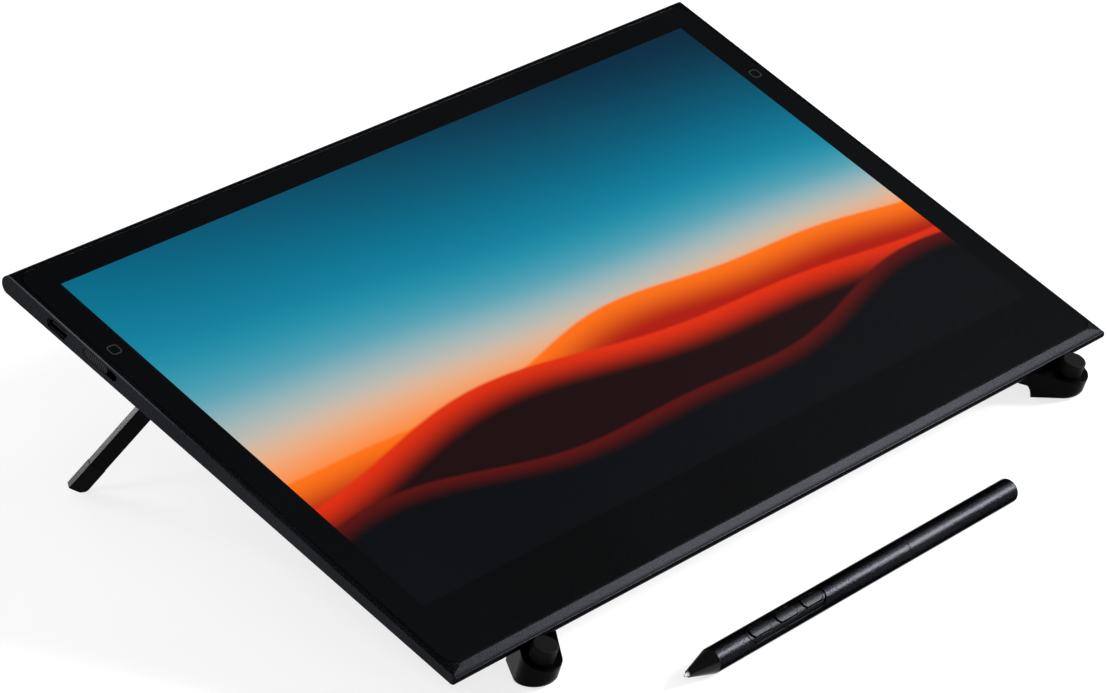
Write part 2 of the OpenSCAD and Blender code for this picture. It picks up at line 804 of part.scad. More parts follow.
// Arm with its neck and foot: halved at the pivot, slotted for its folding leg
module arm(side, lap_z) {
  difference() {
    union() {
      along(side) {
        translate([lap_reach, -arm_w / 2, arm_bottom]) cube([arm_front - lap_reach, arm_w, arm_t]);
        translate([arm_front, 0, arm_bottom]) cylinder(d = arm_w, h = arm_t);
        translate([-lap_reach - over, -arm_w / 2, lap_z]) cube([2 * (lap_reach + over), arm_w, lap_t]);
        translate([0, 0, lap_z]) cylinder(r = hub_r, h = lap_t);
        translate([-arm_rear, -arm_w / 2, arm_bottom]) cube([arm_rear - lap_reach, arm_w, arm_t]);
        translate([-arm_rear, 0, arm_bottom]) cylinder(d = arm_w, h = arm_t);
      }
      knob_frame(side) translate([foot_l / 2, -neck_w / 2, arm_top - neck_t])
        cube([neck_l - foot_l / 2, neck_w, neck_t]);
      foot_hollow(side);
      foot_body(side);
    }
    along(side) {
      translate([-slot_back, -slot_w / 2, arm_bottom - over])
        cube([slot_back - slot_front, slot_w, over + arm_t - arm_skin]);
      translate([-arm_rear, 0, hinge_z]) rotate([90, 0, 0])
        cylinder(d = hinge_d, h = 2 * arm_w, center = true);
      translate([0, 0, arm_bottom - over]) cylinder(d = pivot_d + 2 * pin_clear, h = arm_t + 2 * over);
    }
    knob_frame(side) translate([0, 0, foot_top - stem_l - 2 * bore_clear])
      cylinder(d = stem_d + 2 * bore_clear, h = huge / 2);
    pads_at(side, bore_clear, arm_top - pad_seat, over);
    sole(side, bore_clear);
  }
}

module upper_arm() {
  color("#1b1c1f") difference() {
    arm(1, arm_top - lap_t);
    stand() translate([0, 0, arm_top - pivot_head_t - 2 * pivot_head_gap])
      cylinder(d = pivot_head_d + 4 * pivot_head_gap, h = huge / 2);
  }
}

module lower_arm() {
  color("#1b1c1f") difference() {
    arm(-1, arm_bottom);
    stand() translate([0, 0, arm_bottom - over])
      cylinder(d = pivot_head_d + 2 * bore_clear, h = over + pivot_head_t);
  }
}

// Rubber sole let into the underside of a foot
module sole(side, grow) {
  r = foot_r - sole_inset + grow;
  foot_frame(side) union() {
    cylinder(r = r, h = sole_t);
    translate([0, -r, 0]) cube([foot_l - sole_inset + grow, 2 * r, sole_t]);
  }
}

module front_left_sole() {
  color("#0e0e0e") sole(-1, 0);
}

module front_right_sole() {
  color("#0e0e0e") sole(1, 0);
}

// Round stop knob with a stem in the foot
module stop_knob(side) {
  color("#2a2b2d") knob_frame(side) translate([0, 0, foot_top]) union() {
    rotate_extrude() union() {
      square([knob_r, knob_h - knob_edge]);
      square([knob_r - knob_edge, knob_h]);
      translate([knob_r - knob_edge, knob_h - knob_edge]) intersection() {
        circle(knob_edge);
        square(knob_edge);
      }
    }
    translate([0, 0, -stem_l]) cylinder(d = stem_d, h = stem_l);
  }
}

module front_left_stop() {
  stop_knob(-1);
}

module front_right_stop() {
  stop_knob(1);
}

module upper_arm_pads() {
  color("#131313") pads_at(1, 0, arm_top - pad_seat, 0);
}

module lower_arm_pads() {
  color("#131313") pads_at(-1, 0, arm_top - pad_seat, 0);
}

// Pivot: headed pin from below, cap on top, washer between the arms
module pivot_pin() {
  top = arm_top - pivot_head_t - pivot_head_gap;
  color("#7a7c80") stand() union() {
    translate([0, 0, arm_bottom]) cylinder(d = pivot_head_d, h = pivot_head_t);
    translate([0, 0, arm_bottom]) cylinder(d = pivot_d, h = top - arm_bottom);
  }
}

module pivot_cap() {
  color("#6a6c70") stand() translate([0, 0, arm_top - pivot_head_t - pivot_head_gap])
    cylinder(d = pivot_head_d, h = pivot_head_t);
}

module pivot_washer() {
  color("#d8d8d4") stand() translate([0, 0, arm_bottom + lap_t]) difference() {
    cylinder(r = hub_r, h = washer_t);
    translate([0, 0, -over]) cylinder(d = pivot_d + 2 * pin_clear, h = washer_t + 2 * over);
  }
}

// Leg blade with a hinge eye and a tenon for its tip
module leg(side) {
  color("#1d1e21") leg_frame(side) difference() {
    union() {
      rotate([90, 0, 0]) cylinder(d = leg_t, h = leg_w, center = true);
      translate([0, -leg_w / 2, -leg_t / 2]) cube([leg_len - tip_l, leg_w, leg_t]);
      translate([leg_len - tip_l - over, -tenon_w / 2, -tenon_t / 2])
        cube([tenon_l + over, tenon_w, tenon_t]);
    }
    rotate([90, 0, 0]) cylinder(d = hinge_d + 2 * pin_clear, h = 2 * leg_w, center = true);
  }
}

module left_leg() {
  leg(1);
}

module right_leg() {
  leg(-1);
}

// Rubber tip: square end with a round inner corner
module tip(side) {
  half_w = leg_w / 2 + tip_out;
  color("#161616") leg_frame(side) difference() {
    rotate([90, 0, 0]) linear_extrude(2 * half_w, center = true) union() {
      translate([leg_len - tip_l, -tip_half]) square([tip_l - tip_r, 2 * tip_half]);
      translate([leg_len - tip_l, -tip_half]) square([tip_l, 2 * tip_half - tip_r]);
      translate([leg_len - tip_r, tip_half - tip_r]) circle(tip_r);
    }
    translate([leg_len - tip_l - over, -tenon_w / 2 - tenon_gap, -tenon_t / 2 - tenon_gap])
      cube([tenon_l + over + tenon_gap, tenon_w + 2 * tenon_gap, tenon_t + 2 * tenon_gap]);
  }
}

module left_tip() {
  tip(1);
}

module right_tip() {
  tip(-1);
}

module hinge_pin(side) {
  color("#7a7c80") along(side) translate([-arm_rear, 0, hinge_z]) rotate([90, 0, 0])
    cylinder(d = hinge_d, h = arm_w, center = true);
}

module left_hinge_pin() {
  hinge_pin(1);
}

module right_hinge_pin() {
  hinge_pin(-1);
}

// Round-ended bar across the pen's wall, for the button panel and its window
module panel_cut(grow) {
  translate([panel_x0 + panel_l / 2, 0, 0]) stadium(panel_l + 2 * grow, panel_w + 2 * grow, 0, pen_d);
}

module at_button(i) {
  translate([button_x + i * button_pitch, 0, 0]) children();
}

module pen_front_barrel() {
  color("#1a1b1f") pen_frame() difference() {
    union() {
      rod(nose_l, seam_x - seam_break, pen_r);
      translate([seam_x - seam_break, 0, 0]) rotate([0, 90, 0])
        cylinder(r1 = pen_r, r2 = pen_r - seam_break, h = seam_break);
    }
    rod(nose_l - over, seam_x + over, pen_bore);
    panel_cut(panel_gap);
  }
}

module pen_rear_barrel() {
  spigot_r = pen_bore - bore_clear;
  color("#1a1b1f") pen_frame() difference() {
    union() {
      rod(seam_x + seam_break, pen_l - tail_l, pen_r);
      translate([seam_x, 0, 0]) rotate([0, 90, 0])
        cylinder(r1 = pen_r - seam_break, r2 = pen_r, h = seam_break);
      rod(seam_x - spigot_l, seam_x + over, spigot_r);
    }
    rod(seam_x - spigot_l - over, seam_x + over, spigot_r - pen_wall);
    rod(seam_x + over / 2, pen_l, pen_bore);
  }
}

// Nose cone with a spigot in the barrel
module pen_nose() {
  color("#0c0c0e") pen_frame() rotate([0, 90, 0]) difference() {
    union() {
      translate([0, 0, nose_x0]) cylinder(r1 = nose_tip_r, r2 = pen_r, h = nose_l - nose_x0);
      translate([0, 0, nose_l - over]) cylinder(r = pen_bore - bore_clear, h = spigot_l + over);
    }
    cylinder(d = nib_d + 2 * nib_clear, h = pen_l);
    translate([0, 0, nose_bore_x]) cylinder(r = coil_r + nib_clear, h = pen_l);
  }
}

module pen_tail_cap() {
  color("#1a1b1f") pen_frame() translate([pen_l, 0, 0]) rotate([0, -90, 0]) union() {
    rotate_extrude() union() {
      translate([0, tail_edge]) square([pen_r, tail_l - tail_edge]);
      square([pen_r - tail_edge, tail_l]);
      translate([pen_r - tail_edge, tail_edge]) circle(tail_edge);
    }
    cylinder(r = pen_bore - bore_clear, h = tail_l + spigot_l);
  }
}

// Panel round the buttons, set a little below the barrel's surface
module pen_button_panel() {
  color("#131417") pen_frame() difference() {
    intersection() {
      rod(panel_x0 - over, panel_x0 + panel_l + over, pen_r - panel_deep);
      panel_cut(0);
    }
    rod(panel_x0 - 2 * over, panel_x0 + panel_l + 2 * over, pen_bore);
    for (i = [0:2]) at_button(i) button_prism(button_gap, 0, pen_d);
  }
}

// Block of a button's outline, with its corners cut off
module button_prism(grow, z0, z1) {
  x = button_l / 2 + grow;
  y = button_w / 2 + grow;
  c = button_cut;
  translate([0, 0, z0]) linear_extrude(z1 - z0) polygon([
    [x, c - y], [x, y - c], [x - c, y], [c - x, y], [-x, y - c], [-x, c - y], [c - x, -y], [x - c, -y]
  ]);
}

// Button with a crowned top and a flange under the panel
module pen_button(i) {
  flange_y = button_w / 2 + flange_lap;
  flange_top = sqrt(pow(pen_bore, 2) - pow(flange_y, 2)) - bore_clear;
  color("#1c1d21") pen_frame() union() {
    intersection() {
      rod(0, pen_l, pen_r + button_out);
      at_button(i) button_prism(0, button_foot_z, pen_d);
    }
    at_button(i) translate([-button_l / 2 - flange_lap, -flange_y, flange_top - flange_h])
      cube([button_l + 2 * flange_lap, 2 * flange_y, flange_h]);
  }
}

module pen_button_front() {
  pen_button(0);
}

module pen_button_middle() {
  pen_button(1);
}

module pen_button_rear() {
  pen_button(2);
}

// Nib with a blunt round point
module pen_nib() {
  point_r = 0.4;
  color("#b8babd") pen_frame() rotate([0, 90, 0]) union() {
    translate([0, 0, point_r]) sphere(point_r);
    translate([0, 0, point_r]) cylinder(r1 = point_r, r2 = nib_d / 2, h = nib_out - point_r);
    translate([0, 0, nib_out]) cylinder(d = nib_d, h = nib_l - nib_out);
  }
}

module pen_board() {
  color("#174a2c") pen_frame() translate([pen_board_x0, -pen_board_w / 2, -pen_board_t / 2])
    cube([pen_board_l, pen_board_w, pen_board_t]);
}

module pen_switches() {
  dome_d = 2.6;
  color("#b9bcc0") pen_frame() for (i = [0:2]) at_button(i)
    translate([0, 0, pen_board_t / 2]) cylinder(d = dome_d, h = switch_h);
}

module pen_coil() {
  color("#a8642c") pen_frame() difference() {
    rod(coil_x0, coil_x0 + coil_l, coil_r);
    rod(coil_x0 - over, coil_x0 + coil_l + over, ferrite_r + ferrite_gap);
  }
}

module pen_ferrite() {
  color("#3a3a3a") pen_frame() difference() {
    rod(coil_x0, coil_x0 + coil_l + over, ferrite_r);
    rod(coil_x0 - over, coil_x0 + coil_l + 2 * over, nib_d / 2 + nib_clear);
  }
}

module pen_pressure_sensor() {
  color("#55585c") pen_frame() rod(sensor_x0, sensor_x0 + sensor_l, pen_bore - bore_clear);
}

housing();
rear_cover();
cover_glass();
glass_adhesive();
optical_bond();
display_panel();
pen_sensor_board();
shield_plate();
main_board();
board_shield();
panel_flex();
usb_port_left();
usb_port_right();
power_slider();
power_switch();
touch_key_left();
touch_key_right();
housing_screws();
rubber_feet();
upper_arm();
lower_arm();
front_left_stop();
front_right_stop();
front_left_sole();
front_right_sole();
upper_arm_pads();
lower_arm_pads();
pivot_pin();
pivot_cap();
pivot_washer();
left_leg();
right_leg();
left_tip();
right_tip();
left_hinge_pin();
right_hinge_pin();
pen_front_barrel();
pen_rear_barrel();
pen_nose();
pen_tail_cap();
pen_button_panel();
pen_button_front();
pen_button_middle();
pen_button_rear();
pen_nib();
pen_board();
pen_switches();
pen_coil();
pen_ferrite();
pen_pressure_sensor();
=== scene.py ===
import math

import bpy
from mathutils import Matrix, Vector


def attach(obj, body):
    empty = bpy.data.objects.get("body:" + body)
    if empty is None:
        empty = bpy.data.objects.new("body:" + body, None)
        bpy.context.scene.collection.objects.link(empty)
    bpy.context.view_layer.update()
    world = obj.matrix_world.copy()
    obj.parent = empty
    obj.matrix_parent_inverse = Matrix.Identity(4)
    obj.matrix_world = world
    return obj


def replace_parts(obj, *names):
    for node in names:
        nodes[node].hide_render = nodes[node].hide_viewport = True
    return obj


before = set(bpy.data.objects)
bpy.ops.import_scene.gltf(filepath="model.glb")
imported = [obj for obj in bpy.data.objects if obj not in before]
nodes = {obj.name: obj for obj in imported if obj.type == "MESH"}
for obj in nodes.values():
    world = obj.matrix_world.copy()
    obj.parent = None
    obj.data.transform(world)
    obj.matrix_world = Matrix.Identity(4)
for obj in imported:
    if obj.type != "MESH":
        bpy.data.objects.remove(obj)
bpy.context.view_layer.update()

MM = 0.001

# The display's lean, and its own axes: back along the glass, and out of it
TILT = math.radians(20)
BACK_AXIS = Vector((0, math.cos(TILT), math.sin(TILT)))
OUT_AXIS = Vector((0, -math.sin(TILT), math.cos(TILT)))
SIDE_AXIS = Vector((1, 0, 0))

# Picture area of a 13.3 inch 16:9 panel, and the width of the panel's edge behind it
ACTIVE_W = 294.4 * MM
ACTIVE_H = 165.6 * MM
PANEL_EDGE = 3 * MM
# Depth below the glass plane to which a point still counts as on its face
GLASS_SKIN = 0.1 * MM

# Touch-key outlines: their place from the housing's back edge and from the middle, then their form
GLASS_FROM_BACK = 3.6 * MM
KEY_MARK_BACK = 45.2 * MM
KEY_MARK_X = 152.93 * MM
KEY_MARK_HALF = 0.75 * MM
KEY_MARK_CORNER = 1.15 * MM
KEY_LINE_FULL, KEY_LINE_END = 0.08 * MM, 0.2 * MM

# Metal strip in front of the glass: where its slope starts, its slope, and the steepest face shaded flat
STRIP_RIM = 0.2 * MM
STRIP_SLOPE = math.radians(12)
FLAT_SHADED = STRIP_SLOPE + math.radians(3)

# Painted shade on the housing's front nose: its dark grey, which gives way to the housing's own colour between
# two distances behind the front edge
NOSE_SHADE_GREY = 0.005
NOSE_SHADE_FULL, NOSE_SHADE_END = 0.6 * MM, 2.0 * MM

# Pitches of the power key's ribs and of the coil's turns
RIB_PITCH = 0.9 * MM
TURN_PITCH = 0.25 * MM

# Noise values between which a speckle goes from one tone to the other, and what it adds to the roughness
SPECK_LOW, SPECK_HIGH = 0.3, 0.7
ROUGH_SWING = 0.07
# Part of a grey's lean to blue that its green has too
GREEN_SHARE = 0.2
# Rays that feel for an edge to round
BEVEL_SAMPLES = 6

# Border of the glass: its two blacks, the grey and strength of the key outlines, and the grain of the etching
BORDER_DARK = (0.0006, 0.0008, 0.0010, 1)
BORDER_LIGHT = (0.0010, 0.0013, 0.0016, 1)
KEY_GREY = (0.045, 0.046, 0.048, 1)
KEY_STRENGTH = 0.8
ETCH_GRAIN = 0.12 * MM

# Drift of the sky's bands, their lean to one side with height, the middle of that lean, and the sky's scale
SKY_DRIFT = 0.08
SKY_LEAN = 0.4
SKY_MIDDLE = 0.1
SKY_SCALE = 0.8
# Sky of the picture: place on the ramp and colour, from the skyline up
SKY = [
    (0.25, (1.0, 0.20, 0.012)),
    (0.30, (0.90, 0.42, 0.18)),
    (0.35, (0.50, 0.54, 0.50)),
    (0.42, (0.03, 0.36, 0.48)),
    (0.52, (0.001, 0.21, 0.34)),
    (0.66, (0.0006, 0.10, 0.18)),
    (0.84, (0.0006, 0.020, 0.048)),
]

# Hills of the picture, far to near: height, swing, waves across, phase, softness, lit colour, shaded colour
HILLS = [
    (0.385, 0.035, 1.15, 0.9, 0.030, (1.0, 0.17, 0.006), (0.42, 0.010, 0.002)),
    (0.315, 0.050, 0.85, 2.5, 0.026, (0.75, 0.028, 0.003), (0.012, 0.002, 0.002)),
    (0.185, 0.045, 1.05, 4.6, 0.016, (0.10, 0.004, 0.003), (0.0015, 0.0018, 0.0028)),
]

# Second wave on a hill's line, as multiples of the first one's count, phase and swing
RIPPLE_WAVES, RIPPLE_PHASE, RIPPLE_SWING = 2.3, 1.7, 0.35
# Depths between which a hill's edge blurs, and the depth of its lit rim as a multiple of its softness
HILL_EDGE = (-0.004, 0.006)
RIM_DEPTH = 3.2

# Camera, from the fit to the photograph's straight edges
CAMERA_PLACE = (-0.9668, -0.8544, 0.6563)
CAMERA_AHEAD = Vector((0.6657, 0.6093, -0.4308))
CAMERA_RIGHT = Vector((0.6747, -0.7381, -0.0012))
CAMERA_LENS = 143.8
SENSOR_WIDTH = 36
CLIP_NEAR, CLIP_FAR = 0.05, 50

# Lamps: name, place, point aimed at, size, watts, and whether gloss shows them
LAMPS = [
    ("overhead_left", (-1.5, 0.42, 1.85), (0, 0, 0.03), (0.7, 0.7), 12, True),
    ("front_right", (1.5, -1.15, 1.05), (0, -0.05, 0.03), (0.6, 0.75), 80, True),
    ("top_right", (1.55, -0.43, 1.59), (0, -0.05, 0.03), (0.5, 0.5), 6.6, True),
    ("behind", (-0.6, 2.4, 0.6), (0, 0, 0.03), (0.9, 0.4), 32, True),
    # Wide fills, which lighten the shadow and leave no glint on the black parts
    ("front_fill", (-1.1, -2.0, 1.2), (0, -0.05, 0), (2.6, 1.4), 24, False),
    ("back_fill", (1.0, 2.2, 1.4), (0, -0.05, 0), (2.6, 1.4), 16, False),
]
WORLD_LIGHT = 0.15

# Floor: half its width, its gap below the desk plane, its greys and its own glow where it is seen
FLOOR_HALF = 6
FLOOR_GAP = 0.2 * MM
PAPER_DARK, PAPER_LIGHT = 0.30, 0.32
PAPER_GLOW = 0.73


def span(name, axis):
    """Least and greatest distance of a CAD node's points along an axis."""
    along = [vert.co.dot(axis) for vert in nodes[name].data.vertices]
    return min(along), max(along)


GLASS_FRONT, GLASS_BACK = span("cover_glass", BACK_AXIS)
GLASS_TOP = span("cover_glass", OUT_AXIS)[1]
FRONT_EDGE = span("housing", BACK_AXIS)[0]
HOUSING_BACK = GLASS_BACK + GLASS_FROM_BACK
ACTIVE_BACK = span("display_panel", BACK_AXIS)[1] - PANEL_EDGE
ACTIVE_FRONT = ACTIVE_BACK - ACTIVE_H


class Graph:
    """A small helper for writing node graphs in reading order."""

    def __init__(self, name):
        self.material = bpy.data.materials.new(name)
        self.material.use_nodes = True
        self.tree = self.material.node_tree
        self.tree.nodes.clear()
        self.out = self.tree.nodes.new("ShaderNodeOutputMaterial")

    def node(self, kind, sockets=None, **settings):
        made = self.tree.nodes.new(kind)
        for key, value in settings.items():
            setattr(made, key, value)
        for key, value in (sockets or {}).items():
            self.put(made.inputs[key], value)
        return made

    def put(self, socket, value):
        if isinstance(value, bpy.types.NodeSocket):
            self.tree.links.new(value, socket)
        else:
            socket.default_value = value

    def math(self, operation, a, b=0.0):
        return self.node("ShaderNodeMath", {0: a, 1: b}, operation=operation).outputs[0]

    def weighed(self, a, share_a, b, share_b):
        """Sum of two values, each times its share."""
        return self.math("ADD", self.math("MULTIPLY", a, share_a), self.math("MULTIPLY", b, share_b))

    def vector(self, operation, a, b):
        made = self.node("ShaderNodeVectorMath", {0: a, 1: b}, operation=operation)
        return made.outputs["Value" if operation == "DOT_PRODUCT" else "Vector"]

    def mix(self, factor, a, b):
        made = self.node("ShaderNodeMix", data_type="RGBA")
        for key, value in (("Factor_Float", factor), ("A_Color", a), ("B_Color", b)):
            self.put(next(s for s in made.inputs if s.identifier == key), value)
        return next(s for s in made.outputs if s.identifier == "Result_Color")

    def place(self):
        """Coordinates of the CAD frame at rest, which move with the piece."""
        return self.node("ShaderNodeTexCoord").outputs["Object"]

    def noise(self, scale, detail=2.0, rough=0.5, vector=None):
        made = self.node(
            "ShaderNodeTexNoise",
            {"Vector": vector or self.place(), "Scale": scale, "Detail": detail, "Roughness": rough},
        )
        return made.outputs["Fac"]

    def cells(self, scale, vector):
        return self.node("ShaderNodeTexVoronoi", {"Vector": vector, "Scale": scale}).outputs["Distance"]

    def spread(self, value, low, high, out_low, out_high):
        """A smooth step of the value from one range to another."""
        made = self.node(
            "ShaderNodeMapRange",
            {"Value": value, "From Min": low, "From Max": high, "To Min": out_low, "To Max": out_high},
            interpolation_type="SMOOTHSTEP",
        )
        return made.outputs["Result"]

    def speckle(self, value, out_low=0, out_high=1):
        return self.spread(value, SPECK_LOW, SPECK_HIGH, out_low, out_high)

    def bump(self, height, strength, distance, normal=None):
        sockets = {"Height": height, "Strength": strength, "Distance": distance}
        if normal is not None:
            sockets["Normal"] = normal
        return self.node("ShaderNodeBump", sockets).outputs["Normal"]

    def rounded(self, radius):
        """Normals of an edge broken by the given radius."""
        return self.node("ShaderNodeBevel", {"Radius": radius}, samples=BEVEL_SAMPLES).outputs["Normal"]

    def surface(self, **sockets):
        shader = self.node("ShaderNodeBsdfPrincipled", {k.replace("_", " "): v for k, v in sockets.items()})
        self.tree.links.new(shader.outputs[0], self.out.inputs["Surface"])
        return self.material


def grey(value, blue=0.0):
    """A grey that leans to blue, and a little to green."""
    return (value, value * (1 + GREEN_SHARE * blue), value * (1 + blue), 1)


def grained(name, low, high, grain, roughness, bump, metallic=0.0, blue=0.12, specular=0.5, edge=1.0,
            soft=0.0, nose=False):
    """Near-black surface with a fine grain: colour, roughness and relief follow the same speckle.

    With nose, painted shade turns the colour dark grey towards the housing's front edge.
    """
    g = Graph(name)
    fine = g.noise(1 / grain, detail=3, rough=0.6)
    broad = g.noise(18, detail=2)
    speck = g.weighed(fine, 0.75, broad, 0.25)
    colour = g.mix(g.speckle(speck), grey(low, blue), grey(high, blue))
    rough = g.speckle(speck, roughness - ROUGH_SWING, roughness + ROUGH_SWING)
    if nose:
        # Painted shade: the colour turns dark grey on the front nose
        along = g.vector("DOT_PRODUCT", g.place(), tuple(BACK_AXIS))
        unshaded = g.spread(along, FRONT_EDGE + NOSE_SHADE_FULL, FRONT_EDGE + NOSE_SHADE_END, 0, 1)
        colour = g.mix(unshaded, grey(NOSE_SHADE_GREY, blue), colour)
    return g.surface(
        Base_Color=colour,
        Roughness=rough,
        Metallic=metallic,
        Specular_IOR_Level=specular,
        Specular_Tint=grey(edge),
        Normal=g.bump(fine, bump, grain * 0.5, g.rounded(soft) if soft else None),
    )


def ridged_key(name):
    """Power key: fine cross ribs along the slide, over a moulded grain, with painted shade in the grooves
    between the ribs.
    """
    g = Graph(name)
    place = g.place()
    along = g.vector("DOT_PRODUCT", place, tuple(BACK_AXIS))
    ribs = g.math("SINE", g.math("MULTIPLY", along, 2 * math.pi / RIB_PITCH))
    fine = g.noise(2600, detail=2, vector=place)
    height = g.weighed(ribs, 0.5, fine, 0.3)
    return g.surface(
        # Painted shade: the colour is darker in the rib grooves and lighter on the crests
        Base_Color=g.mix(g.spread(ribs, -0.6, 0.8, 0, 1), grey(0.002, 0.1), grey(0.012, 0.1)),
        Roughness=0.5,
        Specular_IOR_Level=0.1,
        Normal=g.bump(height, 0.6, 0.25 * MM, g.rounded(0.15 * MM)),
    )


def brushed(name, colour, roughness, grain=0.25 * MM):
    """Plated metal with faint drawn lines and small stains."""
    g = Graph(name)
    place = g.place()
    stretch = 8
    stretched = g.vector("MULTIPLY", place, (1, stretch, stretch))
    lines = g.noise(1 / (grain * stretch), detail=3, vector=stretched)
    stain = g.noise(120, detail=3, vector=place)
    tone = g.weighed(lines, 0.6, stain, 0.4)
    dark = tuple(c * 0.6 for c in colour) + (1,)
    light = tuple(min(1, c * 1.2) for c in colour) + (1,)
    return g.surface(
        Base_Color=g.mix(g.speckle(tone), dark, light),
        Metallic=1.0,
        Roughness=g.speckle(tone, roughness - 0.08, roughness + 0.1),
        Normal=g.bump(lines, 0.15, 0.05 * MM),
    )


def board(name, mask_colour, trace_colour):
    """Circuit board: solder mask with a grid of traces and vias."""
    g = Graph(name)
    place = g.place()
    brick = g.node(
        "ShaderNodeTexBrick",
        {
            "Vector": place, "Scale": 1.0, "Color1": (0, 0, 0, 1), "Color2": (0.1, 0.1, 0.1, 1),
            "Mortar": (1, 1, 1, 1), "Mortar Size": 0.02, "Brick Width": 6 * MM, "Row Height": 1.6 * MM,
        },
    )
    vias = g.math("LESS_THAN", g.cells(260, place), 0.12)
    trace = g.math("MAXIMUM", g.spread(brick.outputs["Fac"], 0.4, 0.6, 0, 0.5), vias)
    blot = g.noise(60, detail=3, vector=place)
    return g.surface(
        Base_Color=g.mix(trace, mask_colour, trace_colour),
        Roughness=g.speckle(blot, 0.3, 0.5),
        Normal=g.bump(trace, 0.2, 0.05 * MM),
    )


def film(name, colour, weave):
    """Thin film or tape with a soft ripple."""
    g = Graph(name)
    ripple = g.noise(1 / weave, detail=2)
    stain = g.noise(40, detail=3)
    dark = tuple(c * 0.7 for c in colour) + (1,)
    return g.surface(
        Base_Color=g.mix(g.speckle(stain), dark, tuple(colour) + (1,)),
        Roughness=g.speckle(ripple, 0.35, 0.55),
        Normal=g.bump(ripple, 0.2, 0.1 * MM),
    )


def wound(name):
    """Copper winding: fine turns across the pen, with painted shade between the turns."""
    g = Graph(name)
    along = g.vector("DOT_PRODUCT", g.place(), tuple(SIDE_AXIS))
    turns = g.math("SINE", g.math("MULTIPLY", along, 2 * math.pi / TURN_PITCH))
    # Painted shade: dark copper in the creases between the turns, the copper's own colour on their crests
    colour = g.mix(g.spread(turns, -0.8, 0.6, 0, 1), (0.12, 0.04, 0.012, 1), (0.5, 0.2, 0.08, 1))
    return g.surface(Base_Color=colour, Metallic=1.0, Roughness=0.35, Normal=g.bump(turns, 0.5, 0.08 * MM))


def landscape(g, place, u, v):
    """Generic evening landscape; u runs from -0.5 to 0.5 across the picture and v from 0 to 1 up it."""
    # Sky: deep blue above on the right, teal on the left, pale and orange at the skyline
    cloud = g.math("SUBTRACT", g.noise(6, detail=1, vector=place), 0.5)
    drift = g.math("MULTIPLY", cloud, SKY_DRIFT)
    lean = g.math("MULTIPLY", g.math("POWER", v, 2.0), SKY_LEAN)
    side = g.math("MULTIPLY", g.math("SUBTRACT", u, SKY_MIDDLE), lean)
    height = g.math("MULTIPLY", g.math("ADD", g.math("ADD", v, drift), side), SKY_SCALE)
    sky = g.node("ShaderNodeValToRGB", {"Fac": height})
    ramp = sky.color_ramp
    ramp.interpolation = "B_SPLINE"
    for i, (pos, colour) in enumerate(SKY):
        stop = ramp.elements[i] if i < 2 else ramp.elements.new(pos)
        stop.position = pos
        stop.color = (*colour, 1)
    picture = sky.outputs["Color"]

    # Rolling hills, nearer ones darker, each with a soft lit rim
    for base, swing, waves, phase, soft, lit, shade in HILLS:
        turn = 2 * math.pi * waves
        wave = g.math("SINE", g.math("ADD", g.math("MULTIPLY", u, turn), phase))
        along = g.math("MULTIPLY", u, turn * RIPPLE_WAVES)
        ripple = g.math("SINE", g.math("ADD", along, phase * RIPPLE_PHASE))
        line = g.weighed(wave, swing, ripple, swing * RIPPLE_SWING)
        depth = g.math("SUBTRACT", g.math("ADD", line, base), v)
        body = g.mix(g.spread(depth, 0.0, soft * RIM_DEPTH, 0, 1), (*lit, 1), (*shade, 1))
        picture = g.mix(g.spread(depth, *HILL_EDGE, 0, 1), picture, body)
    return picture


def key_outline(g, x, y):
    """Outlines of the touch keys: 1 on the line of a rounded square on each side of the border."""
    dx = g.math("SUBTRACT", g.math("ABSOLUTE", x), KEY_MARK_X)
    dy = g.math("SUBTRACT", y, HOUSING_BACK - KEY_MARK_BACK)
    qx = g.math("MAXIMUM", g.math("SUBTRACT", g.math("ABSOLUTE", dx), KEY_MARK_HALF), 0.0)
    qy = g.math("MAXIMUM", g.math("SUBTRACT", g.math("ABSOLUTE", dy), KEY_MARK_HALF), 0.0)
    reach = g.math("SQRT", g.math("ADD", g.math("POWER", qx, 2.0), g.math("POWER", qy, 2.0)))
    off_line = g.math("ABSOLUTE", g.math("SUBTRACT", reach, KEY_MARK_CORNER))
    return g.spread(off_line, KEY_LINE_FULL, KEY_LINE_END, 1, 0)


